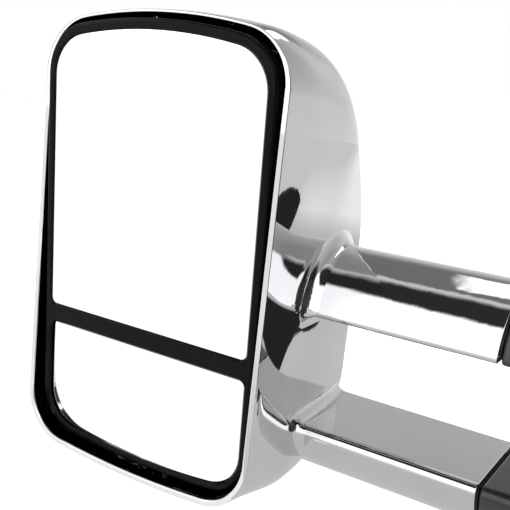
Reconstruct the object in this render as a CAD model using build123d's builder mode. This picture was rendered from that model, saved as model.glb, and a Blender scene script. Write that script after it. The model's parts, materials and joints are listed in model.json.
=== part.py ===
from build123d import *
import math
import os

os.makedirs("parts", exist_ok=True)

# Extending towing mirror for the left-hand side of a vehicle.
# Row frame: X = 0 is the door skin, +X into the door, +Y forwards, +Z up; the origin is the
# middle of the three door studs. Sub-parts are drawn in head coordinates: x from the middle of
# the head, y backwards from its rim (away from the glass side), z up from its lowest edge.
head_x, rim_y, head_z = -330.0, -91.0, -87.0

# --- driving dimensions, mm ---
rim_wall = 4.0             # shell at the sides of its rim
rim_top_wall = 2.0
rim_bottom_wall = 4.1
lip_r = 0.8                # rounding of the rim's edges
wall = 2.5                 # shell behind the rim
head_top = 289.5
head_depth = 168.0         # rim to the rearmost point

arm_y = 91.0               # both arms' middle
upper_z, lower_z = 121.0, 50.0          # flat faces of the arms, which face each other
upper_size = (90.0, 39.0)  # width and height of the half-oval sleeves
lower_size = (84.0, 36.0)
upper_corner, lower_corner = 3.0, 5.0   # rounding of the sleeves' edges
inner_corner = 3.0         # and of everything inside them
sleeve_end = 207.0         # mouths of the sleeves
yoke_start = 209.0         # ends of the yoke's stubs
travel = 100.0             # how far the head slides out
sleeve_wall = 3.5
bush_wall = 2.7
slide_gap = 0.3            # between a tube and its bushes
tube_wall = 2.5
tube_inset = sleeve_wall + bush_wall + slide_gap
tube_end = 245.0           # fixed end of the tubes, inside the yoke

pivot_x = 265.0            # fold axis
pin_r = 8.0
door_x = -head_x           # door skin

tilt_rest = 3.2            # degrees that the glass leans out at the top at rest
gimbal_y = 14.0            # gimbal centre behind the rim
gimbal_z = 144.6
reach = 38.0               # plungers' distance from the gimbal centre
trunnion_r = 2.5
run_gap = 0.08             # radial running clearance of pins
carrier_w = 83.8           # half width of the glass carrier
carrier_top, carrier_bottom = 140.2, 138.5      # its edges, above and below the gimbal
pocket_inset = 2.6         # of the backing plate's pocket
carrier_front = 12.5       # front of the carrier, in front of the gimbal centre
bar = (-59.5, -46.5)       # divider bar, above the gimbal centre

carrier_back = 4.0
glass_front = 11.1         # flat glass, 3 mm thick, behind the carrier's bevel
rest_w = 7.0               # front of the backing plate
bevel = carrier_front - glass_front
window_w, window_h = 77.7, 133.6        # half size of the glass openings at the glass
dish_r = 2000.0            # curvature of the small wide-angle glass
dish_front = 11.45
dish_v = (bar[0] - window_h) / 2        # its middle, below the gimbal centre

plate_y = 51.0             # back of the inner head frame
box_y = 48.0               # back of the glass actuator, and front of that frame
box_front = 22.0
box_w, box_h = 90.0, 100.0
box_x, box_z = -8.0, gimbal_z + 6.0
screw_r = 1.8
ear_r, ear_t = 25.5, 5.0   # gimbal ears: distance from the centre and thickness
ear_tip = trunnion_r + 1.2
ring_inner, ring_outer = 14.0, 19.0
rod_r, ball_r, socket_r = 4.0, 4.0, 4.5
gear_y, gear_t, gear_r, gear_teeth = 33.0, 8.0, 10.0, 18
tooth = 1.2
worm_r = 4.0
motor_r, motor_length = 8.5, 24.0

bush_length = 14.0
bush_inner_x, bush_outer_x = 88.0, 186.0
seal_x = 203.0
stop_x = bush_inner_x - travel - 0.3    # face of the tubes' end stops, which end the travel

barrel_low, barrel_high = 14.0, 160.0
barrel_r = 24.0
bush_r, pivot_bush_length = 11.0, 14.0
washer_t = 1.2
lug_t, lug_r = 14.0, 22.0
lug_low = barrel_low - washer_t         # top of the lower lug
lug_high = barrel_high + washer_t       # underside of the upper lug
spring_low, spring_high, spring_pocket_r = 40.0, 112.0, 15.0
sweep_r = 46.0             # the yoke stays inside this round the fold axis

plate_x = 318.0            # front of the bracket plate
gasket_t = 3.0
cover_x = 313.5
bolt_places = [(228, arm_y - 20), (228, arm_y + 20)]
bolt_r, bolt_depth = 3.0, 12.0
stud_z = -head_z           # height of the stud circle's middle
stud_pcd, stud_r, stud_out = 100.0, 4.0, 32.0
stud_collar_r = 5.0        # pressed into the bracket, flush with the gasket
grommet_r, cable_r = 15.0, 8.0
grommet_gap = 0.1          # round the grommet in its holes


# --- planes in head coordinates ---
def front(y):
    """Local x is +X, local y is +Z, and it extrudes towards -Y, out of the glass side."""
    return Plane(origin=(head_x, rim_y + y, head_z), x_dir=(1, 0, 0), z_dir=(0, -1, 0))


def side(x):
    """Local x is +Y, local y is +Z, and it extrudes towards +X."""
    return Plane(origin=(head_x + x, rim_y, head_z), x_dir=(0, 1, 0), z_dir=(1, 0, 0))


def level(z):
    """Local x is +X, local y is +Y, and it extrudes upwards."""
    return Plane(origin=(head_x, rim_y, head_z + z), x_dir=(1, 0, 0), z_dir=(0, 0, 1))


lean = math.radians(tilt_rest)
face_y, face_z = -math.cos(lean), -math.sin(lean)


def glass(w):
    """Plane of the leaning glass, w in front of the gimbal centre, which is its local origin."""
    origin = (head_x, rim_y + gimbal_y + w * face_y, head_z + gimbal_z + w * face_z)
    return Plane(origin=origin, x_dir=(1, 0, 0), z_dir=(0, face_y, face_z))


def finish(piece, name):
    """Labels a finished sub-part and writes its STEP file."""
    piece.part.label = name
    export_step(piece.part, f"parts/{name}.step")


# --- sections ---
def bowed(plane, left, right, bottom, top, rise_bottom, rise_top, r_bottom, r_top):
    """Rounded outline with straight sides and bowed top and bottom edges."""
    middle = (left + right) / 2
    with BuildSketch(plane) as outline:
        with BuildLine():
            Line((right, bottom + rise_bottom), (right, top - rise_top))
            ThreePointArc((right, top - rise_top), (middle, top), (left, top - rise_top))
            Line((left, top - rise_top), (left, bottom + rise_bottom))
            ThreePointArc((left, bottom + rise_bottom), (middle, bottom), (right, bottom + rise_bottom))
        make_face()
        fillet(outline.sketch_local.vertices().sort_by(Axis.Y)[:2], r_bottom)
        fillet(outline.sketch_local.vertices().sort_by(Axis.Y)[-2:], r_top)
    return outline.sketch


def arm_section(plane, dome, inset):
    """Half-oval arm section; dome is 1 for the upper arm and -1 for the lower one."""
    flat, corner = (upper_z, upper_corner) if dome > 0 else (lower_z, lower_corner)
    width, height = upper_size if dome > 0 else lower_size
    if inset > 0:
        corner = inner_corner
    middle = (arm_y, flat + dome * inset)
    with BuildSketch(plane) as section:
        with BuildLine():
            start = 0 if dome > 0 else 180
            oval = EllipticalCenterArc(
                middle, width / 2 - inset, height - 2 * inset, start_angle=start, arc_size=180
            )
            Line(oval @ 1, oval @ 0)
        make_face()
        fillet(section.sketch_local.vertices(), corner)
    return section.sketch


# Head shell stations: y, left, right, bottom, top, rises and corner radii of the bowed outline.
stations = [
    (0, -89.5, 89.5, 0, head_top, 6, 12, 34, 36),
    (10, -89.5, 91.0, 0, 290.6, 6, 12, 34, 36.5),
    (25, -89, 91.4, 0.3, 291, 6, 12.2, 34, 37),
    (45, -88.2, 90.2, 0.7, 290, 6, 12.6, 34, 38),
    (65, -86.7, 89, 1.3, 287.6, 6, 13, 35, 39.5),
    (85, -84.5, 87.6, 2.2, 280.8, 6, 13.7, 36, 41),
    (105, -79.8, 85.2, 3.5, 265.5, 7, 15, 38, 44),
    (125, -72, 81.4, 6, 242, 8, 16, 40, 47),
    (140, -63, 78.5, 10, 216.5, 9, 16, 42, 48),
    (151, -54, 74.5, 17, 187, 9, 14, 42, 46),
    (159, -44, 68, 27, 157, 8, 10, 38, 38),
    (165, -32, 58, 40, 127, 6, 6, 30, 30),
    (head_depth, -18, 42, 56, 100, 3, 3, 16, 16),
]


def inner_station(station):
    """The same station, on the inside of the shell."""
    y, left, right, bottom, top, rise_bottom, rise_top, r_bottom, r_top = station
    t = rim_wall if y == 0 else wall
    t_top = rim_top_wall if y <= 40 else wall
    t_bottom = rim_bottom_wall if y == 0 else wall
    depth = y * (head_depth - wall) / head_depth
    return (
        depth, left + t, right - t, bottom + t_bottom, top - t_top,
        rise_bottom * 0.95, rise_top * 0.92, r_bottom - t, r_top - t,
    )


# ============ head: slides on the arm tubes ============
with BuildPart() as head_solid:
    for station in stations:
        add(bowed(front(station[0]), *station[1:]))
    loft()

with BuildPart() as head_cavity:
    for station in stations:
        inside = inner_station(station)
        add(bowed(front(inside[0]), *inside[1:]))
    loft()

boss_places = [(-58, 66), (58, 66), (-58, 212), (58, 212)]
with BuildPart() as bosses:
    with BuildSketch(front(head_depth)):
        with Locations(*boss_places):
            Circle(6.5)
    extrude(amount=head_depth - plate_y)
    add(head_solid.part, mode=Mode.INTERSECT)

def arm_bar(x_from, x_to, dome, inset, mode=Mode.ADD):
    """Adds a straight length of arm section to the part in progress."""
    extrude(arm_section(side(x_from), dome, inset), amount=x_to - x_from, mode=mode)


# Fairing from the rim to the lower arm: y, right edge at its top and at its bottom, bottom, top
# and the radius of its lower corner.
fairing_stations = [
    (1.2, 90.0, 90.7, 6.5, 89.5, 32),
    (10, 91.8, 92.8, 5.0, 78.5, 31.5),
    (20, 92.6, 94.8, 4.5, 70, 31),
    (30, 92.9, 96.6, 4.0, 62.5, 29.5),
    (40, 92.6, 98.0, 3.5, 54, 28),
    (52, 92.0, 99.0, 4.0, 43, 26),
    (64, 91.2, 98.5, 4.7, 40, 25),
    (80, 89.0, 96.5, 6.0, 40, 25),
    (98, 84.0, 89.0, 8.5, 40, 25),
    (114, 79.0, 80.0, 12.0, 40, 24),
]


def fairing_section(y, right_top, right_bottom, bottom, top, r_bottom):
    """Its outer edge leans out downwards from a crease; the rest lies inside the shell."""
    with BuildSketch(front(y)) as section:
        Polygon((30, bottom), (right_bottom, bottom), (right_top, top), (30, top), align=None)
        corners = section.sketch_local.vertices().sort_by(Axis.X)[-2:].sort_by(Axis.Y)
        fillet(corners[0], r_bottom)
        corner = section.sketch_local.vertices().group_by(Axis.Y)[-1].sort_by(Axis.X)[-1]
        fillet(corner, 3)
    return section.sketch


with BuildPart() as fairing:
    for station in fairing_stations:
        add(fairing_section(*station))
    loft()


def is_root(edge):
    """True for the edges where the sleeves grow out of the head's side wall."""
    box = edge.bounding_box()
    low, high = box.min - Vector(head_x, rim_y, head_z), box.max - Vector(head_x, rim_y, head_z)
    return low.X > 60 and high.X < 92 and low.Y > 40 and high.Y < 140 and low.Z > 5 and high.Z < 170


with BuildPart() as head_shell:
    add(head_solid.part)
    arm_bar(50, sleeve_end, 1, 0)
    arm_bar(50, sleeve_end, -1, 0)
    for arm_low, arm_high in ((100, 170), (0, 60)):
        root = head_shell.edges().filter_by(is_root).filter_by(
            lambda e: arm_low < e.bounding_box().min.Z - head_z < arm_high
        )
        fillet(root, 9)
    add(fairing.part)
    fillet(head_shell.faces().sort_by(Axis.X)[-2:].edges(), 0.8)
    add(head_cavity.part, mode=Mode.SUBTRACT)
    arm_bar(60, sleeve_end, 1, sleeve_wall, Mode.SUBTRACT)
    arm_bar(60, sleeve_end, -1, sleeve_wall, Mode.SUBTRACT)
    fillet(head_shell.faces().sort_by(Axis.Y)[0].edges(), lip_r)
    add(bosses.part)
    with BuildSketch(front(plate_y + 16)):
        with Locations(*boss_places):
            Circle(screw_r)
    extrude(amount=16, mode=Mode.SUBTRACT)
finish(head_shell, "head_shell")

# ---- sleeve bushes and mouth seals, one pair of bushes and one seal per arm ----
for arm_name, dome in (("upper", 1), ("lower", -1)):
    for place, x_from in (("inner", bush_inner_x), ("outer", bush_outer_x)):
        with BuildPart() as bush:
            arm_bar(x_from, x_from + bush_length, dome, sleeve_wall)
            arm_bar(x_from, x_from + bush_length, dome, sleeve_wall + bush_wall, Mode.SUBTRACT)
        finish(bush, f"{arm_name}_{place}_bush")
    with BuildPart() as seal:
        arm_bar(seal_x, sleeve_end + 0.8, dome, sleeve_wall)
        arm_bar(seal_x, sleeve_end + 0.8, dome, sleeve_wall + bush_wall, Mode.SUBTRACT)
    finish(seal, f"{arm_name}_mouth_seal")

# ---- head frame: the plate that carries the glass actuator ----
with BuildPart() as head_frame:
    with BuildSketch(front(plate_y)):
        with Locations((0, 139)):
            RectangleRounded(132, 166, 14)
        with Locations((0, 205), (0, 78)):
            RectangleRounded(76, 22, 8, mode=Mode.SUBTRACT)
    extrude(amount=plate_y - box_y)
    with BuildSketch(front(box_y)):
        with Locations((-65, 139), (65, 139)):
            Rectangle(2, 110)
        with Locations((0, 218.5), (0, 59.5)):
            Rectangle(104, 3)
    extrude(amount=8)
    with BuildSketch(front(plate_y)):
        with Locations(*boss_places):
            Circle(screw_r)
    extrude(amount=plate_y, mode=Mode.SUBTRACT)
finish(head_frame, "head_frame")

with BuildPart() as frame_screws:
    with BuildSketch(front(plate_y + 14)):
        with Locations(*boss_places):
            Circle(screw_r)
    extrude(amount=14 + plate_y - box_y)
    with BuildSketch(front(box_y)):
        with Locations(*boss_places):
            Circle(4)
    extrude(amount=2.4)
finish(frame_screws, "frame_screws")

# ---- glass actuator: a shallow box with the gimbal's fixed ears on its front ----
ear_places = [(0, gimbal_z - ear_r), (0, gimbal_z + ear_r)]
with BuildPart() as actuator_housing:
    with BuildSketch(front(box_y - 2)):
        with Locations((box_x, box_z)):
            RectangleRounded(box_w, box_h, 12)
    extrude(amount=box_y - 2 - box_front)
    with BuildSketch(front(box_y - 2)):
        with Locations((box_x, box_z)):
            RectangleRounded(box_w - 4, box_h - 4, 10)
    extrude(amount=box_y - 4 - box_front, mode=Mode.SUBTRACT)
    with BuildSketch(front(box_front)):
        with Locations(*ear_places):
            Rectangle(9, ear_t)
    extrude(amount=box_front - gimbal_y + ear_tip)
    with BuildSketch(level(gimbal_z - ear_r - ear_t)):
        with Locations((0, gimbal_y)):
            Circle(trunnion_r + run_gap)
    extrude(amount=2 * (ear_r + ear_t), mode=Mode.SUBTRACT)
    with BuildSketch(front(box_front + 4)):
        with Locations((0, gimbal_z + reach), (-reach, gimbal_z)):
            Circle(rod_r + 0.8)
    extrude(amount=6, mode=Mode.SUBTRACT)
finish(actuator_housing, "actuator_housing")

screw_places = [(box_x + i * (box_w / 2 + 5), box_z + j * 30) for i in (-1, 1) for j in (-1, 1)]
with BuildPart() as actuator_cover:
    with BuildSketch(front(box_y)):
        with Locations((box_x, box_z)):
            RectangleRounded(box_w + 20, box_h - 10, 8)
            RectangleRounded(box_w, box_h, 12)
        with Locations(*screw_places):
            Circle(1.6, mode=Mode.SUBTRACT)
    extrude(amount=2)
finish(actuator_cover, "actuator_cover")

with BuildPart() as actuator_screws:
    with BuildSketch(front(box_y)):
        with Locations(*screw_places):
            Circle(1.6)
    extrude(amount=2)
    with BuildSketch(front(box_y - 2)):
        with Locations(*screw_places):
            Circle(3)
    extrude(amount=1.8)
finish(actuator_screws, "actuator_screws")

# ---- drives: each plunger runs through a gear nut turned by a motor's worm ----
drives = [
    ("tilt", 0, gimbal_z + reach, gimbal_y - reach * math.sin(lean), 39.5),
    ("pan", -reach, gimbal_z, gimbal_y, 41.5),
]
for drive, x, z, ball_y, rod_end in drives:
    with BuildPart() as gear:
        with BuildSketch(front(gear_y + gear_t / 2)):
            with Locations((x, z)):
                Circle(gear_r)
                with PolarLocations(gear_r, gear_teeth):
                    Rectangle(2 * tooth, 1.6)
                Circle(rod_r + 0.15, mode=Mode.SUBTRACT)
        extrude(amount=gear_t)
    finish(gear, f"{drive}_gear_nut")

    worm_x = x + gear_r + tooth + worm_r + 0.3
    with BuildPart() as worm:
        with BuildSketch(level(z - 9)):
            with Locations((worm_x, gear_y)):
                Circle(worm_r - 1)
        extrude(amount=18)
        for turn in range(6):
            with BuildSketch(level(z - 7.5 + turn * 2.7)):
                with Locations((worm_x, gear_y)):
                    Circle(worm_r)
            extrude(amount=1.2)
    finish(worm, f"{drive}_worm")

    with BuildPart() as motor:
        with BuildSketch(level(z - 9 - motor_length)):
            with Locations((worm_x, gear_y)):
                Circle(motor_r)
        extrude(amount=motor_length)
        with BuildSketch(level(z - 11 - motor_length)):
            with Locations((worm_x, gear_y)):
                Circle(3)
        extrude(amount=2)
    finish(motor, f"{drive}_motor")

    with BuildPart() as plunger:
        with BuildSketch(front(rod_end)):
            with Locations((x, z)):
                Circle(rod_r)
        extrude(amount=rod_end - ball_y - 5)
        with BuildSketch(front(ball_y + 6)):
            with Locations((x, z)):
                Circle(2.4)
        extrude(amount=6)
        with Locations(Location((head_x + x, rim_y + ball_y, head_z + z))):
            Sphere(ball_r)
    finish(plunger, f"{drive}_plunger")

# ============ gimbal: turns on the actuator's ears, carries the glass ============
gimbal_centre = Location((head_x, rim_y + gimbal_y, head_z + gimbal_z))
with BuildPart() as gimbal_ring:
    with BuildSketch(front(gimbal_y + 3)):
        with Locations((0, gimbal_z)):
            Circle(ring_outer)
            Circle(ring_inner, mode=Mode.SUBTRACT)
    extrude(amount=6)
    with BuildSketch(level(gimbal_z - ring_outer)):
        with Locations((0, gimbal_y)):
            Circle(trunnion_r)
    extrude(amount=2 * ring_outer, mode=Mode.SUBTRACT)
    with BuildSketch(side(-ring_outer)):
        with Locations((gimbal_y, gimbal_z)):
            Circle(trunnion_r)
    extrude(amount=2 * ring_outer, mode=Mode.SUBTRACT)
finish(gimbal_ring, "gimbal_ring")

pin_start = ring_inner + 1
pin_length = ear_r + ear_t / 2 - pin_start
with BuildPart() as gimbal_pins:
    with BuildSketch(level(gimbal_z + pin_start), level(gimbal_z - pin_start - pin_length)):
        with Locations((0, gimbal_y)):
            Circle(trunnion_r)
    extrude(amount=pin_length)
    with BuildSketch(side(pin_start), side(-pin_start - pin_length)):
        with Locations((gimbal_y, gimbal_z)):
            Circle(trunnion_r)
    extrude(amount=pin_length)
finish(gimbal_pins, "gimbal_pins")


# ============ glass: tilts on the gimbal ============
def carrier_outline(w, inset):
    """Outline parallel to the carrier's edge."""
    half_w, low, high = carrier_w - inset, inset - carrier_bottom, carrier_top - inset
    rise_bottom, rise_top = 5.3 * half_w / carrier_w, 10.5 * half_w / carrier_w
    return bowed(glass(w), -half_w, half_w, low, high, rise_bottom, rise_top, 30 - inset, 32 - inset)


def window(w, lower, grow=0.0):
    """Outline of one glass: upper with sharp lower corners, lower with sharp upper corners."""
    half_w, half_h = window_w + grow, window_h + grow
    with BuildSketch(glass(w)) as opening:
        add(bowed(Plane.XY, -half_w, half_w, -half_h, half_h, 5, 9.8, 23.6 + grow, 25.6 + grow))
        with Locations((0, (bar[1] - grow + 200) / 2 if not lower else (bar[0] + grow - 200) / 2)):
            height = 200 - bar[1] + grow if not lower else 200 + bar[0] + grow
            Rectangle(400, height, mode=Mode.INTERSECT)
        if lower:
            corners = opening.sketch_local.vertices().sort_by(Axis.Y)[-2:]
        else:
            corners = opening.sketch_local.vertices().sort_by(Axis.Y)[:2]
        fillet(corners, 4 + grow)
    return opening.sketch


with BuildPart() as glass_frame:
    extrude(carrier_outline(carrier_back, 0), amount=carrier_front - carrier_back)
    fillet(glass_frame.faces().sort_by(Axis((0, 0, 0), (0, face_y, face_z)))[-1].edges(), 2.5)
    for lower in (False, True):
        extrude(window(carrier_back - 1, lower), amount=30, mode=Mode.SUBTRACT)
    rims = glass_frame.faces().sort_by(Axis((0, 0, 0), (0, face_y, face_z)))[-1].inner_wires().edges()
    chamfer(rims, bevel)
    for lower in (False, True):
        extrude(window(rest_w, lower, 2.2), amount=glass_front - rest_w, mode=Mode.SUBTRACT)
    pocket = carrier_outline(carrier_back - 1, pocket_inset)
    extrude(pocket, amount=rest_w - carrier_back + 1, mode=Mode.SUBTRACT)
finish(glass_frame, "glass_frame")

with BuildPart() as upper_glass:
    extrude(window(glass_front - 3, False, 2.0), amount=3)
finish(upper_glass, "upper_glass")

with BuildPart() as upper_heater_pad:
    extrude(window(rest_w + 0.2, False, 0.5), amount=glass_front - 3 - rest_w - 0.2)
finish(upper_heater_pad, "upper_heater_pad")


def dished(w_front, thickness, grow):
    """A piece of the small glass's window, cut out of a spherical skin."""
    plane = glass(w_front - dish_r)
    place = Location(plane.from_local_coords(Vector(0, dish_v, 0)))
    slab = extrude(window(0, True, grow), amount=20)
    return (place * Sphere(dish_r) & slab) - place * Sphere(dish_r - thickness)


lower_pane = dished(dish_front, 2.1, 2.0)
with BuildPart() as lower_glass:
    add(lower_pane)
finish(lower_glass, "lower_glass")

lower_film = dished(dish_front - 2.15, 0.3, 0.5)
with BuildPart() as lower_heater_pad:
    add(lower_film)
finish(lower_heater_pad, "lower_heater_pad")

with BuildPart() as backing_plate:
    extrude(carrier_outline(rest_w - 3, pocket_inset + 0.3), amount=3)
    with BuildSketch(glass(rest_w)):
        Circle(ring_outer + 2)
        Rectangle(14, 2 * (ear_r + ear_t / 2 + 2.5))
    extrude(amount=-3, mode=Mode.SUBTRACT)
    with BuildSketch(glass(rest_w - 3)):
        with Locations((-ear_r, 0), (ear_r, 0)):
            Rectangle(ear_t, 9)
    extrude(amount=-(rest_w - 3 + ear_tip))
    with BuildSketch(side(-ear_r - ear_t)):
        with Locations((gimbal_y, gimbal_z)):
            Circle(trunnion_r + run_gap)
    extrude(amount=2 * (ear_r + ear_t), mode=Mode.SUBTRACT)
    with BuildSketch(glass(rest_w - 3)):
        with Locations((0, reach), (-reach, 0)):
            Circle(socket_r + 2.5)
    extrude(amount=-(rest_w - 3 + 3))
    with BuildSketch(glass(0)):
        with Locations((0, reach), (-reach, 0)):
            Circle(socket_r)
    extrude(amount=-4, mode=Mode.SUBTRACT)
    for u, v in ((0, reach), (-reach, 0)):
        with Locations(glass(0).location * Location((u, v, 0))):
            Sphere(socket_r, mode=Mode.SUBTRACT)
    with BuildSketch(glass(rest_w - 3)):
        with Locations((-55, 0), (55, 0)):
            Rectangle(2, 230)
        with Locations((0, -80), (0, 80)):
            Rectangle(140, 2)
    extrude(amount=-3)
finish(backing_plate, "backing_plate")

# ============ arm yoke: folds on the door bracket, carries the two arm tubes ============
with BuildPart() as arm_yoke:
    arm_bar(yoke_start, pivot_x + sweep_r, 1, 0)
    arm_bar(yoke_start, pivot_x + sweep_r, -1, 0)
    fillet(arm_yoke.faces().sort_by(Axis.X)[:2].edges(), 2.0)
    with BuildSketch(level(barrel_low)):
        with Locations((pivot_x, arm_y)):
            Circle(barrel_r)
    extrude(amount=barrel_high - barrel_low)
    with BuildSketch(level(0)):
        with Locations((pivot_x, arm_y)):
            Circle(sweep_r)
        with Locations(((yoke_start + pivot_x) / 2, arm_y)):
            Rectangle(pivot_x - yoke_start, 100)
    extrude(amount=200, mode=Mode.INTERSECT)
    arm_bar(yoke_start, tube_end, 1, tube_inset, Mode.SUBTRACT)
    arm_bar(yoke_start, tube_end, -1, tube_inset, Mode.SUBTRACT)
    for z_from, z_to, bore_r in (
        (barrel_low, barrel_high, pin_r + 1),
        (barrel_low, barrel_low + pivot_bush_length, bush_r),
        (barrel_high - pivot_bush_length, barrel_high, bush_r),
        (spring_low, spring_high, spring_pocket_r),
    ):
        with BuildSketch(level(z_from)):
            with Locations((pivot_x, arm_y)):
                Circle(bore_r)
        extrude(amount=z_to - z_from, mode=Mode.SUBTRACT)
    for z_from in (upper_z, lower_z - bolt_depth):
        with BuildSketch(level(z_from)):
            with Locations(*bolt_places):
                Circle(bolt_r)
        extrude(amount=bolt_depth, mode=Mode.SUBTRACT)
finish(arm_yoke, "arm_yoke")

for place, z_from in (("lower", barrel_low), ("upper", barrel_high - pivot_bush_length)):
    with BuildPart() as pivot_bush:
        with BuildSketch(level(z_from)):
            with Locations((pivot_x, arm_y)):
                Circle(bush_r)
                Circle(pin_r + run_gap, mode=Mode.SUBTRACT)
        extrude(amount=pivot_bush_length)
    finish(pivot_bush, f"{place}_pivot_bush")

with BuildPart() as thrust_washers:
    with BuildSketch(level(lug_low), level(barrel_high)):
        with Locations((pivot_x, arm_y)):
            Circle(lug_r - 2)
            Circle(pin_r + 0.3, mode=Mode.SUBTRACT)
    extrude(amount=washer_t)
finish(thrust_washers, "thrust_washers")

for arm_name, dome in (("upper", 1), ("lower", -1)):
    with BuildPart() as tube:
        arm_bar(stop_x, tube_end, dome, tube_inset)
        arm_bar(stop_x, tube_end, dome, tube_inset + tube_wall, Mode.SUBTRACT)
        flat = upper_z if dome > 0 else lower_z
        with BuildSketch(level(min(flat, flat + dome * bolt_depth))):
            with Locations(*bolt_places):
                Circle(bolt_r)
        extrude(amount=bolt_depth, mode=Mode.SUBTRACT)
    finish(tube, f"{arm_name}_arm_tube")
    with BuildPart() as stop:
        arm_bar(stop_x - 4, stop_x, dome, sleeve_wall + 2)
        arm_bar(stop_x, stop_x + 12, dome, tube_inset + tube_wall)
        arm_bar(stop_x - 4, stop_x + 12, dome, tube_inset + tube_wall + 2, Mode.SUBTRACT)
    finish(stop, f"{arm_name}_tube_stop")

with BuildPart() as tube_bolts:
    for dome, flat in ((1, upper_z), (-1, lower_z)):
        with BuildSketch(level(min(flat, flat + dome * bolt_depth))):
            with Locations(*bolt_places):
                Circle(bolt_r)
        extrude(amount=bolt_depth)
        with BuildSketch(level(flat - (4 if dome > 0 else 0))):
            with Locations(*bolt_places):
                RegularPolygon(5.5, 6)
        extrude(amount=4)
finish(tube_bolts, "tube_bolts")

# ============ door base: bolted to the vehicle's door ============
base_corners = [(22, -8), (150, -8), (164, 50), (128, 196), (60, 196), (22, 70)]


def base_outline(x, grow=0.0):
    """Outline of the bracket plate, grown evenly."""
    with BuildSketch(side(x)) as outline:
        with BuildLine():
            Polyline(*base_corners, close=True)
        make_face()
        fillet(outline.sketch_local.vertices(), 18)
        if grow:
            offset(amount=grow)
    return outline.sketch


def base_holes(x_from, x_to, stud_hole_r):
    """Cuts the stud holes and the cable hole through the part in progress."""
    with BuildSketch(side(x_from)) as holes:
        with Locations((arm_y, stud_z)):
            Circle(grommet_r + grommet_gap)
            with PolarLocations(stud_pcd / 2, 3, start_angle=90):
                Circle(stud_hole_r)
    extrude(holes.sketch, amount=x_to - x_from, mode=Mode.SUBTRACT)


with BuildPart() as door_bracket:
    extrude(base_outline(plate_x), amount=door_x - gasket_t - plate_x)
    for z_from in (lug_low - lug_t, lug_high):
        with BuildSketch(level(z_from)):
            with Locations((pivot_x, arm_y)):
                Circle(lug_r)
            with Locations(((pivot_x + plate_x + 2) / 2, arm_y)):
                Rectangle(plate_x + 2 - pivot_x, 2 * lug_r)
        extrude(amount=lug_t)
    with BuildSketch(front(arm_y + 16), front(arm_y - 10)):
        Polygon((288, 174), (plate_x + 1, 174), (plate_x + 1, 191), (312, 191), align=None)
    extrude(amount=6)
    with BuildSketch(level(lug_low - lug_t)):
        with Locations((pivot_x, arm_y)):
            Circle(pin_r)
    extrude(amount=lug_high + 2 * lug_t, mode=Mode.SUBTRACT)
    base_holes(plate_x, door_x, stud_collar_r)
finish(door_bracket, "door_bracket")

with BuildPart() as door_gasket:
    extrude(base_outline(door_x - gasket_t), amount=gasket_t)
    base_holes(door_x - gasket_t, door_x, stud_collar_r + 0.2)
finish(door_gasket, "door_gasket")

with BuildPart() as base_cover:
    extrude(base_outline(cover_x, 2.8), amount=door_x - 0.5 - cover_x)
    fillet(base_cover.faces().sort_by(Axis.X)[0].edges(), 2.5)
    extrude(base_outline(cover_x + 2.2, 0.4), amount=door_x - cover_x, mode=Mode.SUBTRACT)
    with BuildSketch(side(cover_x)):
        for z_from, z_to in ((lug_low - lug_t - 1, lug_low + 1), (lug_high - 1, 192)):
            with Locations((arm_y, (z_from + z_to) / 2)):
                Rectangle(2 * lug_r + 2, z_to - z_from)
        with Locations((arm_y, stud_z)):
            Circle(grommet_r + grommet_gap)
    extrude(amount=2.2, mode=Mode.SUBTRACT)
finish(base_cover, "base_cover")

with BuildPart() as mounting_studs:
    for x_from, x_to, radius in ((plate_x, door_x, stud_collar_r), (door_x, door_x + stud_out, stud_r)):
        with BuildSketch(side(x_from)) as stud:
            with Locations((arm_y, stud_z)):
                with PolarLocations(stud_pcd / 2, 3, start_angle=90):
                    Circle(radius)
        extrude(stud.sketch, amount=x_to - x_from)
    chamfer(mounting_studs.faces().sort_by(Axis.X)[-3:].edges(), 0.8)
finish(mounting_studs, "mounting_studs")

with BuildPart() as cable_grommet:
    with BuildSketch(side(cover_x)):
        with Locations((arm_y, stud_z)):
            Circle(grommet_r)
    extrude(amount=door_x + 3 - cover_x)
    with BuildSketch(side(cover_x - 2)):
        with Locations((arm_y, stud_z)):
            Circle(grommet_r + 3)
    extrude(amount=2)
    with BuildSketch(side(cover_x - 2)):
        with Locations((arm_y, stud_z)):
            Circle(cable_r)
    extrude(amount=door_x + 5 - cover_x, mode=Mode.SUBTRACT)
finish(cable_grommet, "cable_grommet")


# ---- fold pivot: pin, spring and their small parts ----
def ring(z_from, z_to, outer, inner=0.0, mode=Mode.ADD):
    """Adds a ring about the fold axis to the part in progress."""
    with BuildSketch(level(z_from)) as section:
        with Locations((pivot_x, arm_y)):
            Circle(outer)
            if inner:
                Circle(inner, mode=Mode.SUBTRACT)
    extrude(section.sketch, amount=z_to - z_from, mode=mode)


lug_bottom, lug_top = lug_low - lug_t, lug_high + lug_t
with BuildPart() as pivot_pin:
    ring(lug_bottom - 5, lug_bottom, pin_r + 5)
    ring(lug_bottom, lug_top + 13, pin_r)
    chamfer(pivot_pin.faces().sort_by(Axis.Z)[-1].edges(), 1)
    fillet(pivot_pin.faces().sort_by(Axis.Z)[0].edges(), 1.5)
finish(pivot_pin, "pivot_pin")

with BuildPart() as pivot_washer:
    ring(lug_top, lug_top + 2, pin_r + 6, pin_r)
finish(pivot_washer, "pivot_washer")

with BuildPart() as pivot_nut:
    with BuildSketch(level(lug_top + 2)):
        with Locations((pivot_x, arm_y)):
            RegularPolygon(pin_r + 5, 6)
            Circle(pin_r, mode=Mode.SUBTRACT)
    extrude(amount=9)
finish(pivot_nut, "pivot_nut")

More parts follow.
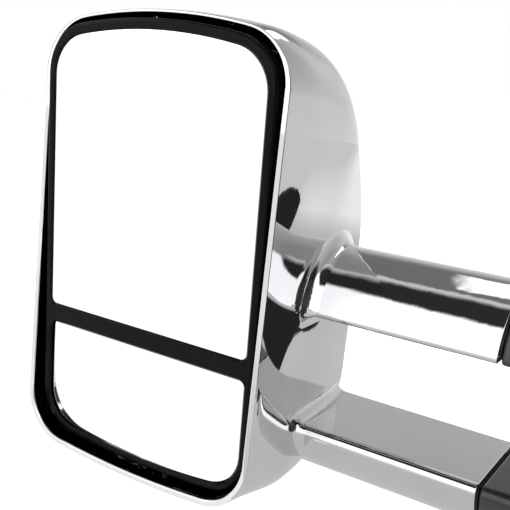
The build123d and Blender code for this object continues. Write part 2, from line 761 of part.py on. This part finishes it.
with BuildPart() as pivot_cap:
    ring(lug_top, lug_top + 17, 17)
    fillet(pivot_cap.faces().sort_by(Axis.Z)[-1].edges(), 3)
    ring(lug_top, lug_top + 15, 15.2, mode=Mode.SUBTRACT)
finish(pivot_cap, "pivot_cap")

with BuildPart() as spring_seat:
    ring(spring_low + 0.5, spring_low + 3.5, spring_pocket_r - 1, pin_r)
finish(spring_seat, "spring_seat")

wire_r, coil_r, turns = 1.8, 11.6, 8
coil_low = spring_low + 3.5 + wire_r + 0.1
coil_high = spring_high - 0.4 - wire_r
with BuildPart() as fold_spring:
    with BuildLine(Plane(origin=(head_x + pivot_x, rim_y + arm_y, head_z + coil_low))):
        path = Helix((coil_high - coil_low) / turns, coil_high - coil_low, coil_r)
    with BuildSketch(Plane(origin=path @ 0, z_dir=path % 0)):
        Circle(wire_r)
    sweep(path=path, is_frenet=True)
finish(fold_spring, "fold_spring")
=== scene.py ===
import json
import math

import bpy
from mathutils import Matrix, Vector


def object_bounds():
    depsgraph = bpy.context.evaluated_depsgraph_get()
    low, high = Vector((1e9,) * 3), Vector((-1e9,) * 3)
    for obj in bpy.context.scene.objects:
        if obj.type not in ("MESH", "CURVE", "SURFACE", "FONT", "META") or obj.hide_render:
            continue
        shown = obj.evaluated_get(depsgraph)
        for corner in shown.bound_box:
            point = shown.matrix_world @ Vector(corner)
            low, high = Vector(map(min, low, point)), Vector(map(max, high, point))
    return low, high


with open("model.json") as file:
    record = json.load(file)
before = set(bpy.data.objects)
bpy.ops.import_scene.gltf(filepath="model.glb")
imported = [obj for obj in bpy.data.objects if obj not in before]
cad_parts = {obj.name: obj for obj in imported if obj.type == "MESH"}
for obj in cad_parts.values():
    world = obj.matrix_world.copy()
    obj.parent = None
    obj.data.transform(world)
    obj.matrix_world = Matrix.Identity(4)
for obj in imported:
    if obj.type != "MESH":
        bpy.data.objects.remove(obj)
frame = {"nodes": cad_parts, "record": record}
NODES = frame["nodes"]
RECORD = frame["record"]
cad_low, cad_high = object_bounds()


# ---------------------------------------------------------------- node helpers
class Maker:
    """Builds one procedural material, with positions read in metres on the piece itself."""

    def __init__(self, name):
        self.mat = bpy.data.materials.new(name)
        self.mat.use_nodes = True
        self.tree = self.mat.node_tree
        self.shader = self.tree.nodes["Principled BSDF"]
        self.where = self.tree.nodes.new("ShaderNodeTexCoord").outputs["Object"]

    def node(self, kind, **values):
        made = self.tree.nodes.new(kind)
        for key, value in values.items():
            setattr(made, key, value)
        return made

    def link(self, source, target):
        self.tree.links.new(source, target)

    def stretched(self, scale):
        """The position, scaled along each axis, so that a pattern can run in one direction."""
        mapping = self.node("ShaderNodeMapping")
        mapping.inputs["Scale"].default_value = scale
        self.link(self.where, mapping.inputs["Vector"])
        return mapping.outputs["Vector"]

    def noise(self, size, detail=3.0, rough=0.5, where=None):
        """Smooth random values whose blobs are about size metres across."""
        made = self.node("ShaderNodeTexNoise")
        made.inputs["Scale"].default_value = 1.0 / size
        made.inputs["Detail"].default_value = detail
        made.inputs["Roughness"].default_value = rough
        self.link(where or self.where, made.inputs["Vector"])
        return made.outputs["Fac"]

    def cells(self, size):
        """Pebbled values, highest between cells about size metres across."""
        made = self.node("ShaderNodeTexVoronoi")
        made.inputs["Scale"].default_value = 1.0 / size
        self.link(self.where, made.inputs["Vector"])
        return made.outputs["Distance"]

    def spread(self, value, low, high, start=0.3, end=0.7):
        """value, taken from start..end to low..high."""
        made = self.node("ShaderNodeMapRange")
        for key, number in (("From Min", start), ("From Max", end), ("To Min", low), ("To Max", high)):
            made.inputs[key].default_value = number
        self.link(value, made.inputs["Value"])
        return made.outputs["Result"]

    def tint(self, value, dark, light, start=0.3, end=0.7):
        """A colour between dark and light, by value."""
        made = self.node("ShaderNodeValToRGB")
        made.color_ramp.elements[0].position = start
        made.color_ramp.elements[0].color = (*dark, 1.0)
        made.color_ramp.elements[1].position = end
        made.color_ramp.elements[1].color = (*light, 1.0)
        self.link(value, made.inputs["Fac"])
        return made.outputs["Color"]

    def colour(self, source):
        self.link(source, self.shader.inputs["Base Color"])

    def roughness(self, source):
        self.link(source, self.shader.inputs["Roughness"])

    def bump(self, *layers):
        """Stacks bumps: each layer is a height source and its depth in metres."""
        last = None
        for height, depth in layers:
            made = self.node("ShaderNodeBump")
            made.inputs["Strength"].default_value = 1.0
            made.inputs["Distance"].default_value = depth
            self.link(height, made.inputs["Height"])
            if last:
                self.link(last, made.inputs["Normal"])
            last = made.outputs["Normal"]
        self.link(last, self.shader.inputs["Normal"])

    def set(self, **values):
        """Fixed values on the shader's own sockets; an underscore stands for a space."""
        for key, value in values.items():
            self.shader.inputs[key.replace("_", " ")].default_value = value


def metal(name, dark, light, blob, roughness):
    """Bare or plated metal: slow changes of tint, and finer changes of roughness."""
    m = Maker(name)
    m.set(Metallic=1.0)
    m.colour(m.tint(m.noise(blob), dark, light))
    m.roughness(m.spread(m.noise(blob * 0.3, 5.0), *roughness))
    return m


def moulded(name, dark, light, roughness, grain, depth, specular=0.5):
    """Moulded plastic or rubber: faint mottling, and a fine grain pressed into it."""
    m = Maker(name)
    m.set(Specular_IOR_Level=specular)
    m.colour(m.tint(m.noise(0.012, 4.0), dark, light))
    m.roughness(m.spread(m.noise(0.03, 4.0), *roughness))
    m.bump((m.noise(grain, 2.0), depth), (m.noise(0.035, 1.0), depth * 2.0))
    return m


# ---------------------------------------------------------------- materials
def chrome():
    m = metal("chrome_plating", (0.70, 0.705, 0.715), (0.75, 0.755, 0.765), 0.05, (0.015, 0.045))
    m.bump((m.noise(0.045, 1.0), 0.00004))
    return m.mat


def mirror_glass():
    m = metal("silvered_glass", (0.93, 0.94, 0.945), (0.96, 0.97, 0.975), 0.08, (0.0, 0.012))
    m.set(Coat_Weight=0.6, Coat_Roughness=0.0, Coat_IOR=1.5)
    return m.mat


def gloss_black():
    dark, light = (0.002, 0.002, 0.0025), (0.004, 0.004, 0.0045)
    roughness = (0.12, 0.22)
    m = moulded("gloss_black_moulding", dark, light, roughness, grain=0.004, depth=0.000004, specular=0.08)
    return m.mat


def arm_black():
    dark, light = (0.008, 0.008, 0.009), (0.018, 0.018, 0.02)
    m = moulded("black_coated_arm", dark, light, (0.2, 0.32), grain=0.0016, depth=0.00002)
    m.set(Coat_Weight=0.25, Coat_Roughness=0.15)
    return m.mat


def tube_black():
    m = Maker("black_anodised_tube")
    m.set(Metallic=0.85)
    drawn = m.noise(0.002, 4.0, where=m.stretched((0.03, 1.0, 1.0)))
    m.colour(m.tint(drawn, (0.018, 0.018, 0.02), (0.05, 0.05, 0.055)))
    m.roughness(m.spread(drawn, 0.22, 0.42))
    m.bump((drawn, 0.00002))
    return m.mat


def cast_black():
    m = Maker("black_coated_casting")
    m.set(Specular_IOR_Level=0.45)
    m.colour(m.tint(m.noise(0.008, 5.0), (0.012, 0.012, 0.013), (0.03, 0.03, 0.032)))
    m.roughness(m.spread(m.noise(0.004, 4.0), 0.4, 0.62))
    m.bump((m.noise(0.0012, 4.0, 0.7), 0.00010), (m.noise(0.02, 2.0), 0.0002))
    return m.mat


def satin_black():
    m = Maker("textured_black_plastic")
    m.colour(m.tint(m.noise(0.02, 4.0), (0.012, 0.012, 0.013), (0.024, 0.024, 0.026)))
    m.roughness(m.spread(m.noise(0.006, 4.0), 0.42, 0.6))
    m.bump((m.cells(0.0011), 0.00012), (m.noise(0.0007, 2.0), 0.00005))
    return m.mat


def moulded_black():
    dark, light = (0.018, 0.018, 0.02), (0.034, 0.034, 0.037)
    return moulded("plain_black_plastic", dark, light, (0.38, 0.55), grain=0.0012, depth=0.00004).mat


def bearing_plastic():
    dark, light = (0.66, 0.65, 0.59), (0.78, 0.77, 0.71)
    m = moulded("natural_acetal", dark, light, (0.34, 0.5), grain=0.0016, depth=0.00002)
    m.set(Subsurface_Weight=0.12, Subsurface_Radius=(0.003, 0.003, 0.002), Subsurface_Scale=1.0)
    return m.mat


def gear_plastic():
    dark, light = (0.74, 0.74, 0.70), (0.85, 0.85, 0.81)
    m = moulded("white_acetal", dark, light, (0.3, 0.45), grain=0.0014, depth=0.00002)
    m.set(Subsurface_Weight=0.12, Subsurface_Radius=(0.003, 0.003, 0.0025), Subsurface_Scale=1.0)
    return m.mat


def bronze():
    m = metal("sintered_bronze", (0.36, 0.22, 0.09), (0.60, 0.40, 0.19), 0.006, (0.28, 0.5))
    m.bump((m.noise(0.0009, 4.0), 0.00006))
    return m.mat


def rubber():
    dark, light = (0.008, 0.008, 0.008), (0.02, 0.02, 0.02)
    return moulded("black_rubber", dark, light, (0.6, 0.82), grain=0.0009, depth=0.00006, specular=0.35).mat


def heater_film():
    m = Maker("printed_heater_film")
    bands = m.node("ShaderNodeTexWave", wave_type="BANDS", bands_direction="Z", wave_profile="SIN")
    bands.inputs["Scale"].default_value = 55.0
    bands.inputs["Distortion"].default_value = 1.5
    m.link(m.where, bands.inputs["Vector"])
    m.colour(m.tint(bands.outputs["Fac"], (0.30, 0.12, 0.02), (0.62, 0.34, 0.10), 0.45, 0.55))
    m.roughness(m.spread(m.noise(0.01, 3.0), 0.25, 0.45))
    m.bump((bands.outputs["Fac"], 0.00003))
    return m.mat


def steel():
    m = metal("zinc_plated_steel", (0.46, 0.47, 0.49), (0.72, 0.73, 0.75), 0.006, (0.2, 0.42))
    m.bump((m.noise(0.0006, 3.0), 0.00002))
    return m.mat


def spring_steel():
    m = metal("oiled_spring_steel", (0.06, 0.06, 0.065), (0.22, 0.21, 0.2), 0.008, (0.28, 0.5))
    m.bump((m.noise(0.0008, 3.0), 0.00003))
    return m.mat


FINISHES = {
    "chrome": chrome(),
    "mirror_glass": mirror_glass(),
    "gloss_black": gloss_black(),
    "arm_black": arm_black(),
    "tube_black": tube_black(),
    "cast_black": cast_black(),
    "satin_black": satin_black(),
    "moulded_black": moulded_black(),
    "bearing_plastic": bearing_plastic(),
    "gear_plastic": gear_plastic(),
    "bronze": bronze(),
    "rubber": rubber(),
    "heater_film": heater_film(),
    "steel": steel(),
    "spring_steel": spring_steel(),
}

SLOT_OF = {part["node"]: part["material_slot"] for part in RECORD["subparts"]}

for name, piece in NODES.items():
    finish = FINISHES[SLOT_OF[name]]
    if not piece.material_slots:
        piece.data.materials.append(finish)
    for place in piece.material_slots:
        place.material = finish


# ---------------------------------------------------------------- studio
# Lengths are in metres. Levels are emission strengths, where 1 shows as white.
WHITE_LEVEL = 1.7          # strength of the surroundings that the ramps below are shares of
FLOOR_Z = cad_low.z - 0.0005
FLOOR_HALF = 6.0
FLOOR_LEVEL = 0.75
CARD_Z = FLOOR_Z + 0.0002
WHITE_CARD_LEVEL = 1.12
DARK_CARD_LEVEL = 0.02
SIDE_CARD_LEVEL = 0.05
BACKDROP_RADIUS = 8.0
BACKDROP_RINGS = 16
BACKDROP_SIDES = 32


def add_mesh(name, points, faces):
    mesh = bpy.data.meshes.new(name)
    mesh.from_pydata(points, [], faces)
    made = bpy.data.objects.new(name, mesh)
    bpy.context.scene.collection.objects.link(made)
    return made


def only_seen_by(piece, rays):
    """Hides a studio piece from every kind of ray but these."""
    for ray in ("camera", "diffuse", "glossy", "transmission", "volume_scatter", "shadow"):
        setattr(piece, "visible_" + ray, ray in rays)


def glowing(name, level):
    """A surface that only glows, at an even level until a node is linked to its emission strength."""
    m = Maker(name)
    m.colour(m.tint(m.noise(1.0), (0.0, 0.0, 0.0), (0.001, 0.001, 0.001)))
    m.set(Specular_IOR_Level=0.0, Emission_Color=(1, 1, 1, 1), Emission_Strength=level)
    return m


def floor_sheet(name):
    half = FLOOR_HALF
    corners = [(-half, -half), (half, -half), (half, half), (-half, half)]
    return add_mesh(name, [(x, y, FLOOR_Z) for x, y in corners], [(0, 1, 2, 3)])


def add_floor():
    """The pale floor that the camera sees and that lights the part, but that no reflection shows."""
    floor = floor_sheet("studio_floor")
    m = Maker("pale_floor")
    m.colour(m.tint(m.noise(0.4, 4.0), (0.88, 0.88, 0.88), (0.9, 0.9, 0.9)))
    m.roughness(m.spread(m.noise(0.1, 3.0), 0.75, 0.9))
    m.set(Emission_Color=(1, 1, 1, 1), Emission_Strength=FLOOR_LEVEL)
    floor.data.materials.append(m.mat)
    floor.visible_glossy = False


def add_mirrored_floor():
    """The floor that only reflections see, with painted shade: greyer in a wide patch round and ahead of
    the part, where the part shades the floor, because this sheet only glows and takes no shadow. It also
    grows greyer towards the vehicle.
    """
    painted_shade_centre = (-0.1, 0.5, FLOOR_Z)
    painted_shade_radius, white_radius, painted_shade_level = 0.6, 1.0, 0.62
    dim_from_x, dim_to_x, vehicle_level = 0.1, 0.8, 0.72
    mirrored = floor_sheet("floor_in_reflections")
    m = glowing("floor_glow_painted_shade", 1.0)
    away = m.node("ShaderNodeVectorMath", operation="DISTANCE")
    away.inputs[1].default_value = painted_shade_centre
    m.link(m.where, away.inputs[0])
    across = m.node("ShaderNodeSeparateXYZ")
    m.link(m.where, across.inputs["Vector"])
    # Painted shade: the glow is lowest near the shade's centre and rises to full white by the outer radius.
    painted_shade_factor = m.spread(away.outputs["Value"], painted_shade_level, 1.0, painted_shade_radius, white_radius)
    by_side = m.spread(across.outputs["X"], 1.0, vehicle_level, dim_from_x, dim_to_x)
    glow = m.node("ShaderNodeMath", operation="MULTIPLY")
    m.link(painted_shade_factor, glow.inputs[0])
    m.link(by_side, glow.inputs[1])
    m.link(glow.outputs["Value"], m.shader.inputs["Emission Strength"])
    mirrored.data.materials.append(m.mat)
    only_seen_by(mirrored, ("glossy",))


def add_card(name, corners, level):
    """A flat card on the floor, seen only in reflections."""
    card = add_mesh(name, [(x, y, CARD_Z) for x, y in corners], [tuple(range(len(corners)))])
    card.data.materials.append(glowing(name, level).mat)
    only_seen_by(card, ("glossy",))


def add_world():
    """The surroundings, as levels that follow the direction looked in, a unit vector. +y is ahead of
    the vehicle, -y is behind it, where the camera is, and +x is towards the vehicle."""
    world = bpy.data.worlds.new("studio_surroundings")
    bpy.context.scene.world = world
    world.use_nodes = True
    tree = world.node_tree
    background = tree.nodes["Background"]
    background.inputs["Strength"].default_value = WHITE_LEVEL
    where = tree.nodes.new("ShaderNodeTexCoord").outputs["Generated"]
    parts = tree.nodes.new("ShaderNodeSeparateXYZ")
    tree.links.new(where, parts.inputs["Vector"])

    def maths(operation, first, second):
        """Each value is a number or the output of a node."""
        made = tree.nodes.new("ShaderNodeMath")
        made.operation = operation
        for place, value in zip(made.inputs, (first, second)):
            if isinstance(value, float):
                place.default_value = value
            else:
                tree.links.new(value, place)
        return made.outputs["Value"]

    def ramp(axis, stops):
        """A level that follows one component of the direction, through (component, level) stops."""
        made = tree.nodes.new("ShaderNodeValToRGB")
        made.color_ramp.interpolation = "EASE"
        while len(made.color_ramp.elements) < len(stops):
            made.color_ramp.elements.new(0.5)
        for element, (place, level) in zip(made.color_ramp.elements, stops):
            element.position = 0.5 + 0.5 * place
            element.color = (level, level, level, 1.0)
        tree.links.new(maths("ADD", maths("MULTIPLY", parts.outputs[axis], 0.5), 0.5), made.inputs["Fac"])
        return made.outputs["Color"]

    def blend(share, first, second):
        """first where share is 0, second where it is 1."""
        made = tree.nodes.new("ShaderNodeMix")
        tree.links.new(share, made.inputs["Factor"])
        tree.links.new(first, made.inputs["A"])
        tree.links.new(second, made.inputs["B"])
        return made.outputs["Result"]

    # White on the camera's side, with a dark ceiling.
    camera_side = ramp("Z", [(-1.0, 1.0), (0.72, 1.0), (0.80, 0.018), (1.0, 0.018)])
    # Grey on the far side, darker with height, and more so away from the vehicle.
    outboard_levels = [
        (-0.1, 0.62), (0.0, 0.52), (0.13, 0.45), (0.26, 0.365),
        (0.38, 0.29), (0.50, 0.165), (0.60, 0.118), (1.0, 0.118),
    ]
    inboard_levels = [
        (-0.1, 0.62), (0.0, 0.52), (0.13, 0.45), (0.26, 0.41),
        (0.38, 0.39), (0.50, 0.37), (0.60, 0.35), (0.75, 0.28),
    ]
    inboard_share = ramp("X", [(-0.2, 0.0), (0.0, 1.0)])
    far_side = blend(inboard_share, ramp("Z", outboard_levels), ramp("Z", inboard_levels))
    far_side = maths("MULTIPLY", far_side, ramp("X", [(0.05, 1.0), (0.4, 0.8)]))
    light = blend(ramp("Y", [(-0.12, 0.0), (0.0, 1.0)]), camera_side, far_side)

    # A strip light overhead, which runs from side to side.
    strip_along_y = ramp("Y", [(-0.1, 0.0), (0.06, 0.44), (0.18, 0.0)])
    strip = maths("MULTIPLY", strip_along_y, ramp("Z", [(0.7, 0.0), (0.9, 1.0)]))

    # A softbox high on the far side.
    softbox_along_x = ramp("X", [(-0.29, 0.0), (-0.25, 1.0), (-0.05, 1.0), (0.0, 0.0)])
    softbox_along_z = ramp("Z", [(0.56, 0.0), (0.62, 1.0), (0.92, 1.0), (0.95, 0.0)])
    softbox = maths("MULTIPLY", softbox_along_x, ramp("Y", [(0.2, 0.0), (0.26, 1.0)]))
    softbox = maths("MULTIPLY", softbox, softbox_along_z)

    light = maths("MAXIMUM", maths("MAXIMUM", light, strip), softbox)
    # Both ends fall away: the outer side to dark grey, the vehicle's side almost to black.
    ends = ramp("X", [(-0.95, 0.15), (-0.75, 1.0), (0.74, 1.0), (0.86, 0.04)])
    tree.links.new(maths("MULTIPLY", light, ends), background.inputs["Color"])


def add_backdrop():
    """A white cyclorama behind everything, seen by the camera and by nothing else."""
    rings, sides = BACKDROP_RINGS, BACKDROP_SIDES
    points = []
    for i in range(rings + 1):
        lift = math.pi * (i / rings - 0.5)
        across, height = BACKDROP_RADIUS * math.cos(lift), BACKDROP_RADIUS * math.sin(lift)
        for k in range(sides):
            turn = 2 * math.pi * k / sides
            points.append((across * math.cos(turn), across * math.sin(turn), height))
    faces = []
    for i in range(rings):
        for k in range(sides):
            low, high = i * sides, (i + 1) * sides
            after = (k + 1) % sides
            faces.append((low + k, low + after, high + after, high + k))
    backdrop = add_mesh("studio_backdrop", points, faces)
    backdrop.data.materials.append(glowing("white_backdrop", 1.0).mat)
    only_seen_by(backdrop, ("camera",))


def add_area(name, place, target, width, height, power):
    """A soft lamp that no reflection shows."""
    light = bpy.data.lights.new(name, "AREA")
    light.shape = "RECTANGLE"
    light.size = width
    light.size_y = height
    light.energy = power
    made = bpy.data.objects.new(name, light)
    bpy.context.scene.collection.objects.link(made)
    made.location = place
    made.rotation_euler = (Vector(target) - Vector(place)).to_track_quat("-Z", "Y").to_euler()
    made.visible_glossy = False


def add_camera():
    """The camera, solved from the photograph's vanishing points, in the row frame."""
    place = Vector((-0.0295, -0.4604, 0.1569))
    right = Vector((0.8421, 0.5285, 0.1074)).normalized()
    up = Vector((-0.1905, 0.1053, 0.9760)).normalized()
    back = right.cross(up)
    data = bpy.data.cameras.new("camera")
    data.sensor_width = 36.0
    data.lens = 56.08
    data.clip_start = 0.01
    data.clip_end = 50.0
    made = bpy.data.objects.new("camera", data)
    bpy.context.scene.collection.objects.link(made)
    turn = Matrix((right, up, back)).transposed().to_4x4()
    made.matrix_world = Matrix.Translation(place) @ turn
    bpy.context.scene.camera = made


WHITE_CARD = [(-0.24, -0.09), (-3.79, -6.0), (-6.0, -6.0), (-6.0, -3.5), (-0.47, -0.09)]
DARK_CARD = [
    (-0.1, 0.15), (0.3, 0.22), (1.15, 1.1), (1.2, 1.25), (1.15, 1.45), (1.0, 1.62),
    (0.8, 1.68), (0.62, 1.6), (0.52, 1.45), (0.47, 1.2), (0.45, 0.8), (-0.1, 0.5),
]
SIDE_CARD = [(0.04, -0.18), (6.0, -3.0), (6.0, 2.2), (0.04, 0.05)]

add_floor()
add_mirrored_floor()
add_card("white_card", WHITE_CARD, WHITE_CARD_LEVEL)
add_card("dark_card", DARK_CARD, DARK_CARD_LEVEL)
add_card("dark_side", SIDE_CARD, SIDE_CARD_LEVEL)
add_world()
add_backdrop()
add_area("overhead_softbox", (-0.2, -0.2, 1.6), (-0.2, 0.0, 0.0), width=1.6, height=1.2, power=14.0)
add_camera()
bpy.context.scene.view_settings.view_transform = "Standard"
